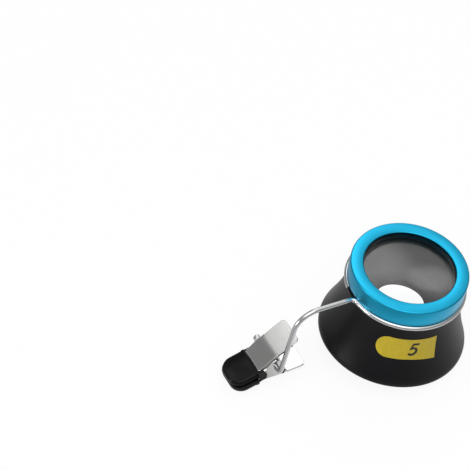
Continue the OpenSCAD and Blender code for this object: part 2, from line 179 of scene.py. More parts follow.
class LoupeColours(bpy.types.PropertyGroup):
    """Colours of the finishes."""

    cup: colour("Cup", "Moulded black plastic", "0d0c0f")
    anodised: colour("Anodised ring", "Blue dye in the anodised skin", "24a5cb")
    steel: colour("Steel", "Bright drawn wire", "cfd0d1")
    plate: colour("Plate", "Nickel plated sheet", "cccccb")
    boot: colour("Boot", "Soft glossy moulding", "070708")
    spring: colour("Spring", "Oiled spring steel", "1e1e20")
    label: colour("Label", "Printed yellow foil", "b69f18")
    ink: colour("Ink", "Printed figure", "17160f")
    floor: colour("Floor", "Paper sweep", "f4f4f4")


def sizes():
    """The scene's sizes."""
    return bpy.context.scene.loupe_sizes


def clip_sizes():
    """The sprung clip's sizes."""
    return bpy.context.scene.clip_sizes


def colours():
    """The scene's colours."""
    return bpy.context.scene.loupe_colours


def add(tree, kind, settings=None):
    """Adds a node. Sockets among the settings are linked, other values go to its fields or inputs."""
    node = tree.nodes.new(kind)
    for key, value in (settings or {}).items():
        if isinstance(value, bpy.types.NodeSocket):
            tree.links.new(value, node.inputs[key])
        elif hasattr(node, str(key)):
            setattr(node, key, value)
        else:
            node.inputs[key].default_value = value
    return node


def maths(tree, operation, *parts):
    """The result of a maths node on numbers and sockets."""
    return add(tree, "ShaderNodeMath", {"operation": operation, **dict(enumerate(parts))}).outputs[0]


def ramp(tree, value, start, stop, low, high, kind="LINEAR"):
    """Brings a value from between start and stop to between low and high."""
    settings = {"interpolation_type": kind, "Value": value, "From Min": start, "From Max": stop}
    return add(tree, "ShaderNodeMapRange", {**settings, "To Min": low, "To Max": high}).outputs["Result"]


def on_object(tree):
    """Coordinates in the piece's own frame, which is the model's."""
    return add(tree, "ShaderNodeTexCoord").outputs["Object"]


def empty_tree(block):
    """The node tree of a new material or world, with nothing in it."""
    block.use_nodes = True
    block.node_tree.nodes.clear()
    return block.node_tree


def surface(name, **values):
    """A new material and its tree, with one Principled shader whose sockets hold the values."""
    material = bpy.data.materials.new(name)
    tree = empty_tree(material)
    shader = add(tree, "ShaderNodeBsdfPrincipled", {k.replace("_", " "): v for k, v in values.items()})
    add(tree, "ShaderNodeOutputMaterial", {"Surface": shader.outputs["BSDF"]})
    return material, tree, shader


def grain(tree, size_mm, detail=3.0, source=None):
    """Noise whose grains are about size_mm across, on Object coordinates or those given."""
    place = on_object(tree) if source is None else source
    settings = {"Scale": 1 / (size_mm * MM), "Detail": detail, "Roughness": 0.55, "Vector": place}
    return add(tree, "ShaderNodeTexNoise", settings).outputs["Fac"]


def tint(tree, shader, factor, dark, light):
    """Varies the shader's base colour between two colours by a factor, and returns the mix."""
    mix = add(tree, "ShaderNodeMix", {"data_type": "RGBA", 0: factor, 6: dark, 7: light})
    tree.links.new(mix.outputs[2], shader.inputs["Base Color"])
    return mix.outputs[2]


def vary(tree, shader, socket, factor, low, high):
    """Drives one of the shader's sockets from a factor, between two values."""
    tree.links.new(ramp(tree, factor, 0.0, 1.0, low, high), shader.inputs[socket])


def relief(tree, shader, height, depth_mm, strength):
    """Bumps the shader's surface by a height from 0 to 1 over depth_mm."""
    bump = add(tree, "ShaderNodeBump", {"Strength": strength, "Distance": depth_mm * MM, "Height": height})
    tree.links.new(bump.outputs["Normal"], shader.inputs["Normal"])


def shade(rgba, factor):
    """A colour made darker or lighter by a factor."""
    return tuple(min(1.0, c * factor) for c in rgba[:3]) + (1.0,)


def moulded_black_plastic():
    """ABS from a spark-eroded mould: a 0.2 mm grain that spreads the highlights to a satin."""
    base = colours().cup
    material, tree, shader = surface("moulded_black_plastic", IOR=1.52, Specular_IOR_Level=0.15)
    cloud = grain(tree, 9.0, 2.0)
    tint(tree, shader, cloud, shade(base, 0.8), shade(base, 1.25))
    vary(tree, shader, "Roughness", cloud, 0.34, 0.42)
    relief(tree, shader, grain(tree, 0.2, 2.0), 0.01, 0.3)
    return material


def turned_coordinates(tree):
    """Distance from the optical axis and height, in which marks left by turning are straight lines."""
    parts = add(tree, "ShaderNodeSeparateXYZ", {"Vector": on_object(tree)}).outputs
    flat = add(tree, "ShaderNodeCombineXYZ", {"X": parts["X"], "Y": parts["Y"]}).outputs[0]
    radius = add(tree, "ShaderNodeVectorMath", {"operation": "LENGTH", 0: flat}).outputs["Value"]
    return add(tree, "ShaderNodeCombineXYZ", {"X": radius, "Y": parts["Z"]}).outputs[0]


def blue_anodised_aluminium():
    """Turned aluminium, dyed blue under a satin oxide skin, with painted shade darkening its bore."""
    base = colours().anodised
    material, tree, shader = surface("blue_anodised_aluminium", Metallic=1.0, Roughness=0.3)
    place = turned_coordinates(tree)
    marks = grain(tree, 0.22, 1.0, place)
    dyed = tint(tree, shader, grain(tree, 6.0, 2.0), shade(base, 0.92), shade(base, 1.06))
    radius = add(tree, "ShaderNodeSeparateXYZ", {"Vector": place}).outputs["X"]
    edge = sizes().opening_r
    # Painted shade: inside the bore the blue base is darkened to 8 percent, as if in shadow.
    outside = ramp(tree, radius, edge + 0.04 * MM, edge + 0.12 * MM, 0.0, 1.0)
    tint(tree, shader, outside, shade(base, 0.08), dyed)
    vary(tree, shader, "Roughness", marks, 0.26, 0.36)
    relief(tree, shader, marks, 0.008, 0.3)
    return material


def crown_glass():
    """Polished crown glass: clear, with a trace of green at its edge."""
    values = {"Base_Color": linear("fdfefe"), "Roughness": 0.0, "IOR": 1.52, "Transmission_Weight": 1.0}
    return surface("crown_glass", **values)[0]


def gasket_rubber():
    """Die-cut nitrile rubber: matt, with a faint talc bloom."""
    material, tree, shader = surface("gasket_rubber", Roughness=0.7, IOR=1.5)
    bloom = grain(tree, 0.8)
    tint(tree, shader, bloom, linear("101010"), linear("1c1c1c"))
    relief(tree, shader, bloom, 0.02, 0.3)
    return material


def drawn_steel(name, base, rough):
    """Steel wire pulled through a die: bright, with lines 0.1 mm wide along its length."""
    material, tree, shader = surface(name, Metallic=1.0, Roughness=rough)
    around = add(tree, "ShaderNodeAttribute", {"attribute_name": "around"}).outputs["Fac"]
    settings = {"noise_dimensions": "1D", "Scale": 24.0, "W": around}
    lines = add(tree, "ShaderNodeTexNoise", settings).outputs["Fac"]
    tint(tree, shader, lines, shade(base, 0.92), shade(base, 1.05))
    vary(tree, shader, "Roughness", lines, rough * 0.8, rough * 1.3)
    return material


def plated_sheet():
    """Nickel plate on rolled sheet: fine rolling lines along the clip and a soft cloudy tone."""
    base = colours().plate
    material, tree, shader = surface("plated_sheet", Metallic=1.0, Roughness=0.16)
    stretched = {"Scale": (0.06, 1.0, 0.06), "Vector": on_object(tree)}
    lines = grain(tree, 0.12, 2.0, add(tree, "ShaderNodeMapping", stretched).outputs["Vector"])
    tint(tree, shader, grain(tree, 3.0), shade(base, 0.88), shade(base, 1.05))
    vary(tree, shader, "Roughness", lines, 0.1, 0.2)
    relief(tree, shader, lines, 0.004, 0.15)
    return material


def dipped_vinyl():
    """Soft vinyl moulded on the jaws: deep black, glossy, with a slow ripple in the skin."""
    base = colours().boot
    material, tree, shader = surface("dipped_vinyl", IOR=1.5, Specular_IOR_Level=0.15)
    ripple = grain(tree, 2.5, 2.0)
    tint(tree, shader, ripple, shade(base, 0.8), shade(base, 1.4))
    vary(tree, shader, "Roughness", ripple, 0.2, 0.3)
    relief(tree, shader, ripple, 0.05, 0.2)
    return material


def printed_foil(name, base):
    """Label foil, printed in one colour: a soft sheen over a faint crinkle 1.5 mm across."""
    material, tree, shader = surface(name, Roughness=0.38, IOR=1.45)
    crinkle = grain(tree, 1.5, 2.0)
    tint(tree, shader, crinkle, shade(base, 0.85), shade(base, 1.12))
    relief(tree, shader, crinkle, 0.03, 0.3)
    return material


def finish_for(name):
    """The material of that name, made the first time it is asked for."""
    makers = {
        "moulded_black_plastic": moulded_black_plastic,
        "blue_anodised_aluminium": blue_anodised_aluminium,
        "crown_glass": crown_glass,
        "gasket_rubber": gasket_rubber,
        "bright_steel_wire": lambda: drawn_steel("bright_steel_wire", colours().steel, 0.2),
        "oiled_spring_steel": lambda: drawn_steel("oiled_spring_steel", colours().spring, 0.42),
        "plated_sheet": plated_sheet,
        "dipped_vinyl": dipped_vinyl,
        "yellow_foil": lambda: printed_foil("yellow_foil", colours().label),
        "black_ink": lambda: printed_foil("black_ink", colours().ink),
    }
    return bpy.data.materials.get(name) or makers[name]()


def group_tree(name, inputs):
    """An empty Geometry Nodes tree with its inputs' sockets and its end node; a finish is always an input."""
    tree = bpy.data.node_groups.new(name, "GeometryNodeTree")
    for label, kind in {"Geometry": "Geometry", **inputs, "Finish": "Material"}.items():
        tree.interface.new_socket(label, in_out="INPUT", socket_type="NodeSocket" + kind)
    tree.interface.new_socket("Geometry", in_out="OUTPUT", socket_type="NodeSocketGeometry")
    return tree, add(tree, "NodeGroupInput").outputs, add(tree, "NodeGroupOutput")


def end_tree(tree, source, start, end):
    """Ends a tree: real geometry, smooth, in the finish that the input names."""
    smooth = add(tree, "GeometryNodeSetShadeSmooth", {"Geometry": source}).outputs[0]
    real = add(tree, "GeometryNodeRealizeInstances", {"Geometry": smooth}).outputs[0]
    painted = add(tree, "GeometryNodeSetMaterial", {"Geometry": real, "Material": start["Finish"]})
    tree.links.new(painted.outputs[0], end.inputs[0])


def turning_tree():
    """Turns a profile drawn in X and Z round the Z axis, as on a lathe."""
    made = bpy.data.node_groups.get("turn_profile")
    if made:
        return made
    tree, start, end = group_tree("turn_profile", {"Steps": "Int", "Rail radius": "Float"})
    rail_r = start["Rail radius"]
    place = add(tree, "GeometryNodeInputPosition").outputs[0]
    parts = add(tree, "ShaderNodeSeparateXYZ", {"Vector": place}).outputs
    across = maths(tree, "SUBTRACT", parts["X"], rail_r)
    down = maths(tree, "MULTIPLY", parts["Z"], -1.0)
    flat = add(tree, "ShaderNodeCombineXYZ", {"X": across, "Y": down}).outputs[0]
    section = add(tree, "GeometryNodeSetPosition", {"Geometry": start["Geometry"], "Position": flat})
    rail = add(tree, "GeometryNodeCurvePrimitiveCircle", {"Resolution": start["Steps"], "Radius": rail_r})
    upright = add(tree, "GeometryNodeSetCurveNormal", {"mode": "Z_UP", "Curve": rail.outputs["Curve"]})
    curves = {"Curve": upright.outputs[0], "Profile Curve": section.outputs[0]}
    swept = add(tree, "GeometryNodeCurveToMesh", curves).outputs[0]
    merged = add(tree, "GeometryNodeMergeByDistance", {"Distance": 1e-7, "Geometry": swept})
    end_tree(tree, merged.outputs[0], start, end)
    return tree


def drawing_tree():
    """Draws round wire along a path, and stores where round the wire each point lies."""
    made = bpy.data.node_groups.get("draw_wire")
    if made:
        return made
    tree, start, end = group_tree("draw_wire", {"Sides": "Int", "Wire radius": "Float"})
    circle = {"Resolution": start["Sides"], "Radius": start["Wire radius"]}
    section = add(tree, "GeometryNodeCurvePrimitiveCircle", circle).outputs["Curve"]
    share = add(tree, "GeometryNodeSplineParameter").outputs["Factor"]
    around = {"Name": "around", "Geometry": section, "Value": maths(tree, "PINGPONG", share, 0.5)}
    marked = add(tree, "GeometryNodeStoreNamedAttribute", around).outputs[0]
    curves = {"Fill Caps": True, "Curve": start["Geometry"], "Profile Curve": marked}
    end_tree(tree, add(tree, "GeometryNodeCurveToMesh", curves).outputs[0], start, end)
    return tree


def new_object(name, data):
    """A new object, put in the scene."""
    made = bpy.data.objects.new(name, data)
    bpy.context.scene.collection.objects.link(made)
    return made


def evaluated_mesh(source):
    """The mesh that an object's modifier gives."""
    bpy.context.view_layer.update()
    depsgraph = bpy.context.evaluated_depsgraph_get()
    return bpy.data.meshes.new_from_object(source.evaluated_get(depsgraph), depsgraph=depsgraph)


def line_object(points, closed):
    """A poly curve through the points, for a Geometry Nodes tree to work on."""
    data = bpy.data.curves.new("line", "CURVE")
    data.dimensions = "3D"
    spline = data.splines.new("POLY")
    spline.points.add(len(points) - 1)
    for point, place in zip(spline.points, points, strict=True):
        point.co = (*place, 1.0)
    spline.use_cyclic_u = closed
    return new_object("line", data)


def through_tree(name, points, closed, tree, values, finish):
    """Runs a tree on a line and returns its result as a plain mesh object."""
    line = line_object(points, closed)
    modifier = line.modifiers.new("shape", "NODES")
    modifier.node_group = tree
    sockets = {s.name: s.identifier for s in tree.interface.items_tree if s.in_out == "INPUT"}
    for label, value in {**values, "Finish": finish_for(finish)}.items():
        modifier[sockets[label]] = value
    mesh = evaluated_mesh(line)
    bpy.data.objects.remove(line)
    mesh.name = name
    return new_object(name, mesh)


def outward(piece, sharp_deg=40):
    """Turns a closed piece's faces outwards and marks its sharp edges."""
    mesh = bmesh.new()
    mesh.from_mesh(piece.data)
    bmesh.ops.remove_doubles(mesh, verts=mesh.verts, dist=1e-7)
    bmesh.ops.recalc_face_normals(mesh, faces=mesh.faces)
    for face in mesh.faces:
        face.smooth = True
    mesh.to_mesh(piece.data)
    mesh.free()
    piece.data.set_sharp_from_angle(angle=math.radians(sharp_deg))
    return piece


def place_piece(piece, body, slot, *nodes):
    """Makes a finished piece ride on its body and stand for its nodes."""
    if nodes:
        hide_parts(*nodes)
    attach(piece, body)


def arc(centre, radius, start_deg, end_deg, steps):
    """Points of an arc in the profile's plane."""
    angles = [math.radians(start_deg + (end_deg - start_deg) * i / steps) for i in range(steps + 1)]
    return [(centre[0] + radius * math.cos(a), centre[1] + radius * math.sin(a)) for a in angles]


def swung(first, corner, last, t):
    """The point at t on a curve from first to last that bends round a corner."""
    return first * (1 - t) ** 2 + corner * (2 * t * (1 - t)) + last * t**2


def eased(corners, radius, steps=3, closed=True):
    """An outline whose sharp corners get a small round; an open one keeps its two ends."""
    made, count = [], len(corners)
    straight_deg, longest = 150, 0.45
    for i, corner in enumerate(corners):
        here = Vector(corner)
        back = Vector(corners[i - 1]) - here
        ahead = Vector(corners[(i + 1) % count]) - here
        turn = math.degrees(back.angle(ahead))
        reach = min(radius, back.length * longest, ahead.length * longest)
        at_end = not closed and i in (0, count - 1)
        if turn > straight_deg or reach < 1e-6 or at_end:
            made.append(tuple(here))
            continue
        first = here + back.normalized() * reach
        last = here + ahead.normalized() * reach
        made += [tuple(swung(first, here, last, k / steps)) for k in range(steps + 1)]
    return made


def turned(name, outline, finish, closed=True):
    """A piece turned from an outline of (radius, height) points."""
    points = [(r, 0.0, z) for r, z in outline]
    values = {"Steps": sizes().steps_round, "Rail radius": 5 * MM}
    return outward(through_tree(name, points, closed, turning_tree(), values, finish))


def flare(top_r, foot_r, z):
    """Radius of the skirt at a height: straight land at the foot, then a concave sweep to the top."""
    s = sizes()
    share = min(1.0, (z - s.rim_land) / (s.flare_h - s.rim_land))
    return top_r + (foot_r - top_r) * (1 - share) ** s.flare_power


def drawn(name, path, sides, radius, finish):
    """A piece of round wire along a path."""
    values = {"Sides": sides, "Wire radius": radius}
    return outward(through_tree(name, path, False, drawing_tree(), values, finish), sharp_deg=60)


def skirt_line(top_r, foot_r, low, reach):
    """Points up one side of the skirt: from a height on the land, round into the flare, to the shoulder."""
    s = sizes()
    steps, foot_steps = 48, 10
    heights = [s.rim_land + (s.flare_h - s.rim_land) * i / steps for i in range(steps + 1)]
    line = [Vector((flare(top_r, foot_r, z), z)) for z in heights]
    foot = Vector((foot_r, low))
    soft = [swung(foot, line[0], line[reach], t / foot_steps) for t in range(foot_steps)]
    return [tuple(point) for point in soft + line[reach:]]


class LOUPE_OT_eye_cup(bpy.types.Operator):
    """Moulds the eye cup: flared skirt, hoop groove, neck and lens seat"""

    bl_idname = "loupe.eye_cup"
    bl_label = "Eye cup"

    def execute(self, context):
        s = sizes()
        ring_wall, seat_clearance, lip_depth = 1.6 * MM, 0.05 * MM, 2.4 * MM
        neck_r, neck_top = RING_R - ring_wall, RING_Z[1] - lip_depth
        lens_seat_r = LENS_R + seat_clearance
        corners = [(RIM_BORE_R, 0.0), (RIM_R, 0.0)]
        corners += skirt_line(s.shoulder_r, RIM_R, low=0.7 * MM, reach=3)
        corners += [(s.groove_r, s.flare_h), (s.groove_r, RING_Z[0]), (neck_r, RING_Z[0])]
        corners += [(neck_r, neck_top), (lens_seat_r, neck_top)]
        corners += [(lens_seat_r, GASKET_Z[0]), (s.neck_bore_r, GASKET_Z[0])]
        corners += skirt_line(s.neck_bore_r, RIM_BORE_R, low=0.12 * MM, reach=10)[::-1]
        cup = turned("eye_cup_moulding", eased(corners, radius=0.3 * MM), "moulded_black_plastic")
        place_piece(cup, "loupe", "eye_cup", "eye_cup")
        return {"FINISHED"}


class LOUPE_OT_lens_ring(bpy.types.Operator):
    """Turns the anodised lens ring with its fine bevels"""

    bl_idname = "loupe.lens_ring"
    bl_label = "Lens ring"

    def execute(self, context):
        s = sizes()
        ring_wall, lip_depth, bevel = 1.58 * MM, 2.3 * MM, 0.25 * MM
        low, top = RING_Z
        bore_r, lip_z = RING_R - ring_wall, top - lip_depth
        corners = [(bore_r, low), (RING_R - bevel, low), (RING_R, low + bevel), (RING_R, top - bevel)]
        corners += [(RING_R - bevel, top), (s.opening_r + bevel, top), (s.opening_r, top - bevel)]
        corners += [(s.opening_r, lip_z), (bore_r, lip_z)]
        outline = eased(corners, radius=0.08 * MM, steps=2)
        ring = turned("lens_ring_turned", outline, "blue_anodised_aluminium")
        place_piece(ring, "loupe", "lens_ring", "lens_ring")
        return {"FINISHED"}


class LOUPE_OT_lens(bpy.types.Operator):
    """Grinds the biconvex lens and cuts its gasket"""

    bl_idname = "loupe.lens"
    bl_label = "Lens and gasket"

    def execute(self, context):
        s = sizes()
        curve_r = s.lens_curve_r
        low, top = LENS_Z
        half, steps = math.degrees(math.asin(LENS_R / curve_r)), 40
        lower = arc((0.0, low + curve_r), curve_r, -90, -90 + half, steps)
        upper = arc((0.0, top - curve_r), curve_r, 90 - half, 90, steps)
        lens = turned("lens_ground", lower + upper, "crown_glass", closed=False)
        place_piece(lens, "loupe", "lens", "lens")
        gap = 0.005 * MM
        tops = [(r, low + curve_r - math.sqrt(curve_r**2 - r**2) - gap) for r in (LENS_R, s.neck_bore_r)]
        corners = [(s.neck_bore_r, GASKET_Z[0]), (LENS_R, GASKET_Z[0]), *tops]
        gasket = turned("lens_gasket_cut", corners, "gasket_rubber")
        place_piece(gasket, "loupe", "lens_gasket", "lens_gasket")
        return {"FINISHED"}


def bend(corner, before, after, radius, steps):
    """Points of a round bend between two directions that meet at a corner."""
    angle = before.angle(after)
    inward = (after - before * before.dot(after)).normalized()
    centre = corner - before * radius * math.tan(angle / 2) + inward * radius
    turns = [angle * i / steps for i in range(steps + 1)]
    return [centre - inward * radius * math.cos(t) + before * radius * math.sin(t) for t in turns]


def wire_path():
    """Centre line of the frame's wire, from the hoop's free end to the end of the axle."""
    s = sizes()
    clearance, cap_wall, hoop_steps = 0.05 * MM, 0.25 * MM, 120
    hoop_r = s.groove_r + clearance + s.wire_r
    first = 3 * math.pi - s.hoop_gap
    turn = 2 * math.pi - s.hoop_gap - s.hoop_lead
    angles = [first - turn * i / hoop_steps for i in range(hoop_steps + 1)]
    points = [Vector((hoop_r * math.cos(a), hoop_r * math.sin(a), HOOP_Z)) for a in angles]
    lead_dir = Vector((-math.sin(s.hoop_lead), math.cos(s.hoop_lead), 0))
    corner = points[-1] + lead_dir * hoop_r * math.tan(s.hoop_lead)
    arm = Vector((-s.arm_reach, 0, HOOP_Z + s.arm_rise))
    foot = Vector((AXLE.x, 0, AXLE.z))
    arm_dir = (arm - corner).normalized()
    drop_dir = (foot - arm).normalized()
    points += bend(corner, lead_dir, arm_dir, radius=1.6 * MM, steps=12)
    points += bend(arm, arm_dir, drop_dir, radius=6.6 * MM, steps=18)
    points += bend(foot, drop_dir, Vector((0, 1, 0)), radius=1.4 * MM, steps=12)
    return [*points, Vector((AXLE.x, AXLE_END_Y - cap_wall, AXLE.z))]


class LOUPE_OT_wire_frame(bpy.types.Operator):
    """Bends the one wire that is hoop, arm and axle, and presses on the axle's cap"""

    bl_idname = "loupe.wire_frame"
    bl_label = "Wire frame and axle cap"

    def execute(self, context):
        wire = drawn("wire_frame_bent", wire_path(), 32, sizes().wire_r, "bright_steel_wire")
        place_piece(wire, "wire", "wire_frame", "wire_frame")
        softened("axle_cap", 0.12 * MM, "bright_steel_wire", "wire")
        return {"FINISHED"}


def softened(node, width, finish, body):
    """Puts a copy of a node's solid, with its edges broken by a small round, in place of the node."""
    piece = new_object(node + "_finished", frame["nodes"][node].data.copy())
    mesh = bmesh.new()
    mesh.from_mesh(piece.data)
    bmesh.ops.remove_doubles(mesh, verts=mesh.verts, dist=1e-6)
    bmesh.ops.dissolve_limit(
        mesh, angle_limit=math.radians(0.5), verts=mesh.verts, edges=mesh.edges, use_dissolve_boundaries=False
    )
    mesh.to_mesh(piece.data)
    mesh.free()
    rounding = piece.modifiers.new("broken_edges", "BEVEL")
    rounding.width = width
    rounding.segments = 3
    rounding.limit_method = "ANGLE"
    rounding.angle_limit = math.radians(30)
    finished = evaluated_mesh(piece)
    piece.modifiers.remove(rounding)
    piece.data = finished
    finished.materials.clear()
    finished.materials.append(finish_for(finish))
    for polygon in finished.polygons:
        polygon.use_smooth = True
    finished.set_sharp_from_angle(angle=math.radians(35))
    place_piece(piece, body, node, node)


def in_model(u, y, w):
    """A point of the clip's own frame in the model's: u runs towards the handles, and w is up."""
    c, s = math.cos(CLIP_TILT), math.sin(CLIP_TILT)
    return Vector((AXLE.x + u * c - w * s, AXLE.y + y, AXLE.z + u * s + w * c))


class Sheet:
    """One plate of the clip: its side of the axle and its numbers, with the middle line they give."""

    def __init__(self, word):
        s = clip_sizes()
        for name in ("lift", "ear_slope", "handle_slope", "jaw_start", "handle_start"):
            setattr(self, name, getattr(s, word + "_" + name))
        self.side, self.crown = (1, s.handle_crown) if word == "upper" else (-1, 0.0)
        self.handle_run = s.handle_l - self.handle_start

    def height(self, u):
        """Height of the middle of the sheet over the axle, behind the jaws' bend."""
        behind = max(u - self.handle_start, 0.0)
        crown = behind * (1 - behind / self.handle_run) * math.tan(self.crown) / 2
        rise = min(u, self.handle_start) * math.tan(self.ear_slope) + behind * math.tan(self.handle_slope)
        return self.lift / math.cos(self.ear_slope) + rise + crown

    def line(self):
        """Middle line in u and w: closed jaw, then the slope at the ears, then the handle."""
        s = clip_sizes()
        steps = 8
        places = [-self.jaw_start]
        places += [self.handle_start + self.handle_run * k / steps for k in range(steps + 1)]
        points = [Vector((u, 0, self.height(u))) for u in places]
        points.insert(0, Vector((-s.jaw_l, 0, points[0].z)))
        ways = [(b - a).normalized() for a, b in zip(points, points[1:])]
        line = [points[0]]
        for i, radius in ((1, s.jaw_bend_r), (2, s.handle_bend_r)):
            line += bend(points[i], ways[i - 1], ways[i], radius, steps)
        return line + points[3:]


class Rule:
    """Measures along a line of points, and finds places on it."""

    def __init__(self, line):
        self.line = line
        self.marks = [0.0]
        for a, b in zip(line, line[1:]):
            self.marks.append(self.marks[-1] + (b - a).length)
        ways = [(b - a).normalized() for a, b in zip(line, line[1:])]
        self.ways = [ways[0]] + [(a + b).normalized() for a, b in zip(ways, ways[1:])] + [ways[-1]]

    def stretch(self, marks, value):
        """Number of the stretch between two points whose marks hold a value."""
        return max(0, min(len(self.line) - 2, bisect.bisect_right(marks, value) - 1))

    def at_u(self, u):
        """Distance along the line to where it passes u."""
        i = self.stretch([p.x for p in self.line], u)
        a, b = self.line[i], self.line[i + 1]
        return self.marks[i] + (u - a.x) / (b.x - a.x) * (self.marks[i + 1] - self.marks[i])

    def place(self, along):
        """Point of the line at a distance along it, and the normal there."""
        i = self.stretch(self.marks, along)
        share = (along - self.marks[i]) / (self.marks[i + 1] - self.marks[i])
        way = self.ways[i].lerp(self.ways[i + 1], min(1.0, max(0.0, share))).normalized()
        return self.line[i].lerp(self.line[i + 1], share), Vector((-way.z, 0, way.x))


def mitre(back, ahead, least):
    """Step to the left at a corner between two directions: one long, and longer where they turn."""
    back, ahead = back.normalized(), ahead.normalized()
    left = Vector((-back.y - ahead.y, back.x + ahead.x)).normalized()
    return left / max(least, left.y * back.x - left.x * back.y)


def moved_loop(loop, amount):
    """A closed flat loop moved to its left by an amount, with mitred corners."""
    made = []
    for i, here in enumerate(loop):
        ahead = loop[(i + 1) % len(loop)] - here
        made.append(here + mitre(here - loop[i - 1], ahead, least=0.4) * amount)
    return made


def turned_left(loop, wanted=True):
    """A closed loop that runs anticlockwise if wanted, or clockwise if not."""
    area = sum(a.x * b.y - b.x * a.y for a, b in zip(loop, loop[1:] + loop[:1]))
    return loop if (area > 0) == wanted else loop[::-1]


def slab(outer, holes, thick, roll):
    """A flat slab cut to a loop, with holes, and with its cut edges rolled."""
    half, support = thick / 2, 0.03 * MM
    part = 0.29 * roll  # how far in the round lies at 45 degrees
    section = [(roll + support, half), (roll, half), (part, half - part), (0, half - roll)]
    section += [(inset, -height) for inset, height in section[::-1]]
    mesh = bmesh.new()
    rims = ([], [])
    loops = [turned_left([Vector(p) for p in outer])]
    loops += [turned_left([Vector(p) for p in hole], False) for hole in holes]
    for loop in loops:
        rings = [[mesh.verts.new((*p, z)) for p in moved_loop(loop, inset)] for inset, z in section]
        for low, high in zip(rings, rings[1:]):
            for k in range(len(loop)):
                mesh.faces.new((low[k - 1], low[k], high[k], high[k - 1]))
        for rim, ring in zip(rims, (rings[0], rings[-1])):
            rim += [mesh.edges.get((ring[k - 1], ring[k])) for k in range(len(ring))]
    for rim, up in zip(rims, (1, -1)):
        bmesh.ops.triangle_fill(mesh, edges=rim, use_beauty=True, normal=(0, 0, up))
    return mesh


def formed(name, mesh, finish, place=None, cuts=((), ()), sharp_deg=40):
    """Makes a mesh a piece, after cutting it at places in x and y and moving each point to its place."""
    for way, marks in zip(((1, 0, 0), (0, 1, 0)), cuts):
        for mark in marks:
            geometry = mesh.verts[:] + mesh.edges[:] + mesh.faces[:]
            point = tuple(mark * part for part in way)
            bmesh.ops.bisect_plane(mesh, geom=geometry, dist=1e-7, plane_co=point, plane_no=way)
    if place:
        for vertex in mesh.verts:
            vertex.co = place(vertex.co)
    data = bpy.data.meshes.new(name)
    mesh.to_mesh(data)
    mesh.free()
    data.materials.append(finish_for(finish))
    return outward(new_object(name, data), sharp_deg)


def round_ear(front, back):
    """Side view of an ear: from its front root round the axle to its back root."""
    s = clip_sizes()
    turns = []
    for side, root in ((1, front), (-1, back)):
        turns.append(math.degrees(math.atan2(root.z, root.x) + side * math.acos(s.ear_r / root.length)))
    return arc((0, 0), s.ear_r, turns[0], turns[1] + 360, 24)


def tall_ear(front, back):
    """Side view of an ear that reaches up beside the other plate, with soft corners."""
    corners = [(-5.0, 0.2), (-4.8, -1.1), (-3.8, -2.1), (-2.2, -3.1), (0.1, -3.9), (1.3, -3.0)]
    edge = [(front.x, front.z)] + [(u * MM, w * MM) for u, w in corners] + [(back.x, back.z)]
    return eased(edge, 0.7 * MM, 4, closed=False)[1:-1]


def stamped(name, sheet, width, half, ears, ear_views):
    """One plate of the clip: half outline in u and y, a near and a far ear folded over, and the bends."""
    s = clip_sizes()
    rule = Rule(sheet.line())
    root = width / 2 - s.sheet_t / 2 - s.fold_r
    hang = root + s.fold_r * math.pi / 2
    front, back = (rule.at_u(u) for u in ears)
    along = Vector((math.cos(sheet.ear_slope), 0, math.sin(sheet.ear_slope)))
    down = Vector((along.z, 0, -along.x))

    def fold_end(at):
        """Where the fold ends under a place on the middle line."""
        base, normal = rule.place(at)
        return base - normal * s.fold_r

    def flat(u, w):
        """Where a point of an ear's side view lies on the sheet before it is folded."""
        target = Vector((u, 0, w))
        low, high = 0.0, rule.marks[-1]
        for _ in range(40):
            middle = (low + high) / 2
            if (target - fold_end(middle)).dot(along) > 0:
                low = middle
            else:
                high = middle
        return low, hang + (target - fold_end(low)).dot(down)

    relief_cut = 0.12 * MM
    inner = root - relief_cut
    before = [(rule.at_u(u), y) for u, y in half if u < ears[0]]
    after = [(rule.at_u(u), y) for u, y in half if u > ears[1]]
    sides = []
    for ear_view in ear_views:
        line = before + [(front - relief_cut, before[-1][1]), (front - relief_cut, inner), (front, inner)]
        line += [(front, root), (front, hang)]
        line += [flat(*point) for point in ear_view(fold_end(front), fold_end(back))]
        line += [(back, hang), (back, root), (back, inner)]
        line += [(back + relief_cut, inner), (back + relief_cut, after[0][1])] + after
        sides.append(line)
    outer = [(u, -y) for u, y in sides[0]] + sides[1][::-1]
    hole = [flat(*point) for point in arc((0, 0), s.hole_r, 0, 345, 23)]
    holes = [hole, [(u, -y) for u, y in hole]]

    def place(point):
        """Where a point of the flat sheet lies once it is folded and bent."""
        across = abs(point.y)
        base, normal = rule.place(point.x)
        y, lean, hung = across, 0.0, 0.0
        if front - 1e-6 <= point.x <= back + 1e-6 or across > hang:
            lean = max(0.0, min(math.pi / 2, (across - root) / s.fold_r))
            hung = max(0.0, across - hang)
        if lean > 0:
            y = root + s.fold_r * math.sin(lean)
        y += point.z * math.sin(lean)
        spot = base + normal * (point.z * math.cos(lean) - s.fold_r * (1 - math.cos(lean))) + down * hung
        return in_model(spot.x, math.copysign(y, point.y), sheet.side * spot.z)

    edge, fold_steps = 0.1 * MM, 5
    folds = [root + (hang - root) * k / fold_steps for k in range(fold_steps + 1)]
    folds = [root - edge, *folds, hang + edge]
    bends = rule.marks[1:-1]
    for low, high in zip(rule.marks, rule.marks[1:]):
        if high - low > MM:
            bends += [low + edge, high - edge]
    mesh = slab(outer, holes, s.sheet_t, 0.09 * MM)
    return formed(name, mesh, "plated_sheet", place, (bends, folds + [-f for f in folds]))


def handle_corner(width):
    """Half outline of a handle's end, with its round corner, in u and y."""
    s = clip_sizes()
    radius = 1.3 * MM
    return arc((s.handle_l - radius, width / 2 - radius), radius, 90, 0, 10)


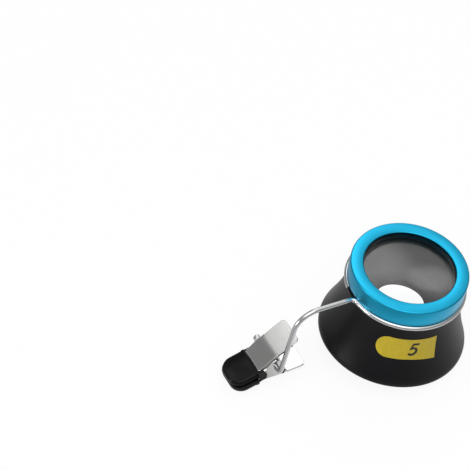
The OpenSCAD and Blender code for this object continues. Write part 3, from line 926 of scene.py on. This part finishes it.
class LOUPE_OT_clip_plates(bpy.types.Operator):
    """Stamps, folds and bends the clip's two plated sheets"""

    bl_idname = "loupe.clip_plates"
    bl_label = "Clip plates"

    def execute(self, context):
        tip = -clip_sizes().jaw_l
        jaw, neck, width, handle = 4.2 * MM, 4.05 * MM, 9.2 * MM, 8.8 * MM
        half = [(tip, jaw - 3 * MM), (tip + 1.4 * MM, jaw), (-5.7 * MM, jaw), (-5.3 * MM, neck)]
        half += [(1.9 * MM, 4.2 * MM)] + handle_corner(handle)
        ears = (-4.9 * MM, 1.6 * MM)
        upper = stamped("clip_upper_stamped", Sheet("upper"), width, half, ears, (round_ear, round_ear))
        place_piece(upper, "clip_upper", "clip_upper_plate", "clip_upper_plate")
        jaw, width = 4.8 * MM, 10.8 * MM
        half = [(tip, jaw - 3 * MM), (tip + 1.4 * MM, jaw), (-6.0 * MM, jaw)]
        half += [(2.9 * MM, width / 2)] + handle_corner(width)
        ears = (-5.6 * MM, 2.6 * MM)
        lower = stamped("clip_lower_stamped", Sheet("lower"), width, half, ears, (tall_ear, round_ear))
        place_piece(lower, "clip_lower", "clip_lower_plate", "clip_lower_plate")
        return {"FINISHED"}


def boot_outline(back, width, inset):
    """Outline of a boot from above, open at its back, drawn in by an inset."""
    s = clip_sizes()
    tip_inset = 0.8 * inset
    radius = s.boot_tip_r - tip_inset
    tip = -s.boot_reach + tip_inset + radius
    side = width / 2 - inset
    lip = [d * MM for d in (0, 0.03, 0.12, 0.32, 0.9, 1.0, 1.07, 1.15, 1.25, 2.0)]
    half = [(back - d, side) for d in lip] + arc((tip, side - radius), radius, 90, 180, 16)
    return half + [(u, -y) for u, y in half[::-1]]


def boot_shell(name, sheet, width, height):
    """A moulded boot: squared shoulders over a flat jaw face, with a small lip and a collar at its back."""
    s = clip_sizes()
    low = s.jaw_gap / 2
    roll, lip, crown = 0.22 * MM, 0.32 * MM, 0.25 * MM
    collar_l, collar_ease, collar_out = 1.25 * MM, 0.3 * MM, 0.08 * MM
    power = 2 / s.boot_square
    levels = []
    for step in range(4):
        angle = math.radians(30 * step)
        levels.append((roll * (1 - math.sin(angle)), low + roll * (1 - math.cos(angle))))
    for step in range(1, 13):
        angle = math.radians(7.5 * step)
        rise = (height - low - roll) * math.sin(angle) ** power
        levels.append((s.boot_draw_in * (1 - max(0.0, math.cos(angle)) ** power), low + roll + rise))
    levels = [(inset, w - crown * (w - low) / (height - low)) for inset, w in levels]
    inner = (0.3, 0.7, 1.1, 1.5, 1.9, 2.3, 2.7)
    for more in inner:
        levels.append((s.boot_draw_in + more * MM, height - crown * (1 - more / inner[-1]) ** 2))
    back = -sheet.jaw_start + 0.4 * MM
    mesh = bmesh.new()
    rings = []
    for inset, w in levels:
        ring = []
        for u, y in boot_outline(back, width, inset):
            near = min(1.0, max(0.0, (u - back + lip) / lip))
            collar = min(1.0, max(0.0, (u - back + collar_l) / collar_ease))
            pinch = lip * (1 - math.sqrt(1 - near * near))
            pinch += collar_out * (1 - 2 * collar**2 * (3 - 2 * collar))
            y -= pinch * y / (width / 2)
            from_seam = w - pinch * (w - low) / (height - low)
            ring.append(mesh.verts.new(in_model(u, y, sheet.side * from_seam - s.seam_drop)))
        rings.append(ring)
    for lower, upper in zip(rings, rings[1:]):
        for k in range(1, len(lower)):
            mesh.faces.new((lower[k - 1], lower[k], upper[k], upper[k - 1]))
    mesh.faces.new(rings[0])
    mesh.faces.new(rings[-1])
    mesh.faces.new([ring[0] for ring in rings] + [ring[-1] for ring in rings[::-1]])
    return formed(name, mesh, "dipped_vinyl", sharp_deg=50)


class LOUPE_OT_jaw_boots(bpy.types.Operator):
    """Moulds the two soft jaw boots, the lower one with a cheek over each ear"""

    bl_idname = "loupe.jaw_boots"
    bl_label = "Jaw boots"

    def execute(self, context):
        upper = boot_shell("upper_jaw_boot_moulded", Sheet("upper"), width=10.4 * MM, height=2.3 * MM)
        place_piece(upper, "clip_upper", "upper_jaw_boot", "upper_jaw_boot")
        sheet, width, cheek = Sheet("lower"), 11.6 * MM, 0.4 * MM
        lower = boot_shell("lower_jaw_boot_moulded", sheet, width, height=2.9 * MM)
        place_piece(lower, "clip_lower", "lower_jaw_boot", "lower_jaw_boot")
        root = [(-0.7, 0.7), (-0.7, 2.2), (1.2, 1.6), (2.7, 1.7)]
        tall = root + [(3.2, -0.3), (2.1, -3.6), (0.5, -2.8), (0.6, 0.7)]
        low = root + [(3.1, 0.5), (0.6, 0.5)]
        for sign, word, corners in ((-1, "near", tall), (1, "far", low)):
            outline = eased([(u * MM - sheet.jaw_start, w * MM) for u, w in corners], radius=0.3 * MM)
            middle = sign * (width - cheek) / 2

            def beside(point, at=middle):
                """Where a point of the flat cheek lies beside the boot."""
                return in_model(point.x, at + point.z, -point.y)

            placed = formed("boot_cheek_" + word, slab(outline, [], cheek, 0.12 * MM), "dipped_vinyl", beside)
            place_piece(placed, "clip_lower", "lower_jaw_boot", "lower_jaw_boot")
        return {"FINISHED"}


def spring_path():
    """Helix of the torsion spring with its two straight legs."""
    s = clip_sizes()
    clearance, first_slope, steps_per_turn = 0.04 * MM, 0.35, 28
    slopes = []
    for sheet in (Sheet("upper"), Sheet("lower")):
        below = (s.sheet_t / 2 + s.spring_r + clearance) / math.cos(sheet.handle_slope)
        slope = first_slope
        for _ in range(6):
            rise = sheet.height(s.leg_reach) - below - s.coil_r * math.cos(slope)
            slope = math.atan(rise / (s.leg_reach + s.coil_r * math.sin(slope)))
        slopes.append(slope)
    start = math.pi / 2 + slopes[0]
    turned_by = 2 * math.pi * s.coil_turns + math.pi - sum(slopes)
    steps = steps_per_turn * s.coil_turns
    coil = []
    for i in range(steps + 1):
        angle = start + turned_by * i / steps
        out, up = s.coil_r * math.cos(angle), s.coil_r * math.sin(angle)
        coil.append(Vector((out, s.coil_l * (i / steps - 0.5), up)))
    ends = []
    for slope, angle, sign in ((slopes[0], start, -1), (slopes[1], start + turned_by, 1)):
        around = s.coil_r * turned_by
        way = Vector((-math.sin(angle) * around, s.coil_l, math.cos(angle) * around)).normalized()
        ends.append(way * sign * (s.leg_reach + s.coil_r * math.sin(slope)) / math.cos(slope))
    path = [coil[0] + ends[0], *coil, coil[-1] + ends[1]]
    return [in_model(*point) for point in path]


class LOUPE_OT_torsion_spring(bpy.types.Operator):
    """Winds the torsion spring round the axle"""

    bl_idname = "loupe.torsion_spring"
    bl_label = "Torsion spring"

    def execute(self, context):
        path, radius, steel = spring_path(), clip_sizes().spring_r, "oiled_spring_steel"
        spring = drawn("torsion_spring_wound", path[1:], 20, radius, steel)
        place_piece(spring, "clip_lower", "torsion_spring", "torsion_spring")
        # The upper leg turns with its plate. The wound part hides the 69 degrees of coil that it starts with.
        hidden_by = 0.015 * MM
        leg = drawn("torsion_spring_leg", path[:7], 20, radius - hidden_by, steel)
        place_piece(leg, "clip_upper", "torsion_spring")
        return {"FINISHED"}


def on_skirt(point):
    """Moves a flat point on the label to the skirt: x round the cup, y up it, z out of it."""
    s = sizes()
    middle, label_z, label_r, step = math.radians(-114.4), 12.8 * MM, 18.3 * MM, 0.1 * MM
    height = label_z + point.y
    above, below = (flare(s.shoulder_r, RIM_R, height + way * step) for way in (1, -1))
    out = Vector((1, (below - above) / (2 * step))).normalized()
    radius = flare(s.shoulder_r, RIM_R, height) + point.z * out.x
    angle = middle + point.x / label_r
    return Vector((radius * math.cos(angle), radius * math.sin(angle), height + point.z * out.y))


def stroke_loop(points, width):
    """Closed loop round a pen stroke of a width along points."""
    sides = ([], [])
    for i, here in enumerate(points):
        back = here - points[i - 1] if i else points[1] - here
        ahead = points[i + 1] - here if i < len(points) - 1 else back
        step = mitre(back, ahead, least=0.6) * width / 2
        sides[0].append(here + step)
        sides[1].append(here - step)
    return sides[0] + sides[1][::-1]


def figure_line():
    """Centre line of a plain sloping figure 5, one unit high."""
    corners = [(0.60, 0.94), (0.20, 0.94), (0.12, 0.53)]
    bowl = [(0.20, 0.58), (0.31, 0.605), (0.43, 0.58), (0.53, 0.50), (0.57, 0.37), (0.55, 0.23), (0.46, 0.12)]
    bowl += [(0.33, 0.06), (0.20, 0.07), (0.08, 0.15)]
    slant = 0.2
    return [Vector((x + slant * y, y)) for x, y in corners + bowl]


class LOUPE_OT_label(bpy.types.Operator):
    """Sticks the yellow label on the skirt, with one plain figure on it"""

    bl_idname = "loupe.label"
    bl_label = "Label"

    def execute(self, context):
        s = sizes()
        left, right, half = -s.label_w / 2, s.label_w / 2, s.label_h / 2
        foil_t, ink_t, figure_h, pen_w = 0.1 * MM, 0.02 * MM, 4.2 * MM, 0.72 * MM
        outline = arc((left + half - 0.3 * MM, 0), half, 90, 270, 24)
        foot = [(-2.5, 0.1), (0.5, 0.2), (3.5, 0.05), (6.3, -0.25), (8.75, -0.6), (8.9, -0.45)]
        outline += [(x * MM, y * MM - half) for x, y in foot] + [(right + 0.1 * MM, half)]
        cuts = ([left + 0.6 * MM * i for i in range(1, 30)], [half * (i / 4 - 1) for i in range(1, 8)])

        def stuck(point, lift=0.03 * MM):
            """Where a point of the flat label lies on the skirt, with a little glue under it."""
            return on_skirt(Vector((point.x, point.y, point.z + lift)))

        label = formed("cup_label", slab(outline, [], foil_t, 0.02 * MM), "yellow_foil", stuck, cuts)
        place_piece(label, "loupe", "eye_cup")
        line = [point * figure_h + Vector((0.1 * MM, -2.0 * MM)) for point in figure_line()]
        ink = slab(stroke_loop(line, pen_w), [], ink_t, 0.002 * MM)
        figure = formed("label_figure", ink, "black_ink", lambda p: stuck(p, 0.09 * MM), cuts)
        place_piece(figure, "loupe", "eye_cup")
        return {"FINISHED"}


class LOUPE_OT_stage(bpy.types.Operator):
    """Sets the camera, the white floor that the loupe is propped on, and soft studio light"""

    bl_idname = "loupe.stage"
    bl_label = "Stage"

    def execute(self, context):
        make_floor()
        make_light()
        make_camera()
        context.scene.view_settings.view_transform = "Standard"
        return {"FINISHED"}


def floor_slope():
    """Slope of the floor along X: it touches the far edge of the eye rim and the clip's lowest corner."""
    slope, clear_of_rim = 0.0, 10 * MM
    for node in ("clip_lower_plate", "lower_jaw_boot", "wire_frame", "eye_cup"):
        for vertex in frame["nodes"][node].data.vertices:
            run = RIM_R - vertex.co.x
            if run > clear_of_rim:
                slope = max(slope, -vertex.co.z / run)
    return slope


def white_paper_sweep():
    """White paper: the camera sees it burnt out, and the loupe mirrors it darker: in reflections its glow is a
    painted pool of light that fades away from the loupe, with a painted shadow under the cup.
    """
    material = bpy.data.materials.new("white_paper_sweep")
    tree = empty_tree(material)
    path = add(tree, "ShaderNodeLightPath").outputs
    place = on_object(tree)
    middle = {"operation": "DISTANCE", 0: place, 1: Vector((4, -8, 0)) * MM}
    away = add(tree, "ShaderNodeVectorMath", middle).outputs["Value"]
    # Painted pool of light: the glow that reflections see fades from 0.92 near the loupe to 0.5 further out.
    painted_glow_falloff = ramp(tree, away, 37 * MM, 49 * MM, 0.92, 0.5, "SMOOTHSTEP")
    from_axis = add(tree, "ShaderNodeVectorMath", {"operation": "LENGTH", 0: place}).outputs["Value"]
    # Painted shadow: under the cup the glow that reflections see drops to a quarter.
    shaded = ramp(tree, from_axis, 19 * MM, 23 * MM, 0.25, 1.0)
    painted_reflected_glow = maths(tree, "MULTIPLY", painted_glow_falloff, shaded)
    unmirrored = maths(tree, "LESS_THAN", path["Glossy Depth"], 0.5)
    through = maths(tree, "MULTIPLY", path["Is Transmission Ray"], unmirrored)
    direct = maths(tree, "MAXIMUM", path["Is Camera Ray"], through)
    strength = maths(tree, "MULTIPLY_ADD", through, 0.12, maths(tree, "MAXIMUM", direct, painted_reflected_glow))
    share = maths(tree, "MULTIPLY", maths(tree, "MAXIMUM", direct, path["Is Glossy Ray"]), 0.9)
    paper = add(tree, "ShaderNodeBsdfDiffuse", {"Color": tuple(colours().floor)}).outputs[0]
    glow = add(tree, "ShaderNodeEmission", {"Color": (1, 1, 1, 1), "Strength": strength}).outputs[0]
    mix = add(tree, "ShaderNodeMixShader", {0: share, 1: paper, 2: glow}).outputs[0]
    add(tree, "ShaderNodeOutputMaterial", {"Surface": mix})
    return material


def make_floor():
    """A wide pale sheet under the loupe, white to the camera but still shaded by the object."""
    slope, half = floor_slope(), 3.0
    corners = [(-half, -half), (half, -half), (half, half), (-half, half)]
    mesh = bpy.data.meshes.new("floor_sheet")
    mesh.from_pydata([(x, y, (x - RIM_R) * slope) for x, y in corners], [], [(0, 1, 2, 3)])
    mesh.materials.append(white_paper_sweep())
    floor = new_object("floor_sheet", mesh)


def make_light():
    """A plain room with soft windows: azimuth, height, inner and outer reach, and strength of each."""
    windows = ((55, 48, 12, 26, 0.55), (62, 46, 4, 14, 2.0), (140, 45, 8, 15, 0.7), (127, 55, 4, 12, 0.9))
    windows += ((-128, 75, 15, 60, 0.75), (173, 6, 4, 12, 16.0))
    world = bpy.data.worlds.new("studio_windows")
    bpy.context.scene.world = world
    tree = empty_tree(world)
    direction = add(tree, "ShaderNodeTexCoord").outputs["Generated"]
    total = add(tree, "ShaderNodeValue").outputs[0]
    total.default_value = 0.3
    for azimuth, height, inner, outer, bright in windows:
        turn, rise = math.radians(azimuth), math.radians(height)
        toward = (math.cos(turn) * math.cos(rise), math.sin(turn) * math.cos(rise), math.sin(rise))
        settings = {"operation": "DOT_PRODUCT", 0: direction, 1: toward}
        facing = add(tree, "ShaderNodeVectorMath", settings).outputs["Value"]
        edges = (math.cos(math.radians(reach)) for reach in (outer, inner))
        total = maths(tree, "ADD", total, ramp(tree, facing, *edges, 0.0, bright, "SMOOTHSTEP"))
    room = add(tree, "ShaderNodeBackground", {"Color": (1, 1, 1, 1), "Strength": total})
    add(tree, "ShaderNodeOutputWorld", {"Surface": room.outputs[0]})
    data = bpy.data.lights.new("key_box", "AREA")
    data.shape = "DISK"
    data.size = 0.8
    data.energy = 1.9
    lamp = new_object("key_box", data)
    lamp.location = (-0.216, -0.276, 0.719)
    lamp.rotation_mode = "QUATERNION"
    lamp.rotation_quaternion = (-lamp.location).to_track_quat("-Z", "Y")


def make_camera():
    """The photograph's view: a long lens from the front left, 47 degrees down."""
    place = Vector((-346.289, -359.939, 549.504)) * MM
    look = Vector((0.42334, 0.54185, -0.72607))
    right = Vector((0.86743, -0.4737, 0.15225))
    focal_px, picture_px, sensor_w = 2500, 470, 36.0
    data = bpy.data.cameras.new("camera")
    data.sensor_width = sensor_w
    data.lens = focal_px / picture_px * sensor_w
    data.clip_start = 0.05
    data.clip_end = 20.0
    camera = new_object("camera", data)
    back = -look.normalized()
    across = (right - back * right.dot(back)).normalized()
    up = back.cross(across)
    camera.matrix_world = Matrix.Translation(place) @ Matrix((across, up, back)).transposed().to_4x4()
    bpy.context.scene.camera = camera


class LOUPE_PT_panel(bpy.types.Panel):
    """Lists the loupe's pieces, sizes and colours"""

    bl_idname = "LOUPE_PT_panel"
    bl_label = "Clip-on loupe"
    bl_space_type = "VIEW_3D"
    bl_region_type = "UI"
    bl_category = "Loupe"

    def draw(self, context):
        column = self.layout.column(align=True)
        for operator in OPERATORS:
            column.operator(operator.bl_idname)
        for group in (context.scene.loupe_sizes, context.scene.clip_sizes, context.scene.loupe_colours):
            box = self.layout.box()
            for name in group.bl_rna.properties.keys():
                if name not in ("rna_type", "name"):
                    box.prop(group, name)


OPERATORS = (
    LOUPE_OT_stage,
    LOUPE_OT_eye_cup,
    LOUPE_OT_lens_ring,
    LOUPE_OT_lens,
    LOUPE_OT_wire_frame,
    LOUPE_OT_clip_plates,
    LOUPE_OT_jaw_boots,
    LOUPE_OT_torsion_spring,
    LOUPE_OT_label,
)
CLASSES = (LoupeSizes, ClipSizes, LoupeColours, *OPERATORS, LOUPE_PT_panel)


def register():
    """Registers the classes and the three groups of settings."""
    for item in CLASSES:
        bpy.utils.register_class(item)
    bpy.types.Scene.loupe_sizes = bpy.props.PointerProperty(type=LoupeSizes)
    bpy.types.Scene.clip_sizes = bpy.props.PointerProperty(type=ClipSizes)
    bpy.types.Scene.loupe_colours = bpy.props.PointerProperty(type=LoupeColours)


def unregister():
    """Takes the settings and the classes away again."""
    del bpy.types.Scene.loupe_colours
    del bpy.types.Scene.clip_sizes
    del bpy.types.Scene.loupe_sizes
    for item in reversed(CLASSES):
        bpy.utils.unregister_class(item)


def main():
    """Builds every piece."""
    register()
    bpy.ops.loupe.stage()
    bpy.ops.loupe.eye_cup()
    bpy.ops.loupe.lens_ring()
    bpy.ops.loupe.lens()
    bpy.ops.loupe.wire_frame()
    bpy.ops.loupe.clip_plates()
    bpy.ops.loupe.jaw_boots()
    bpy.ops.loupe.torsion_spring()
    bpy.ops.loupe.label()


if __name__ == "__main__":
    main()
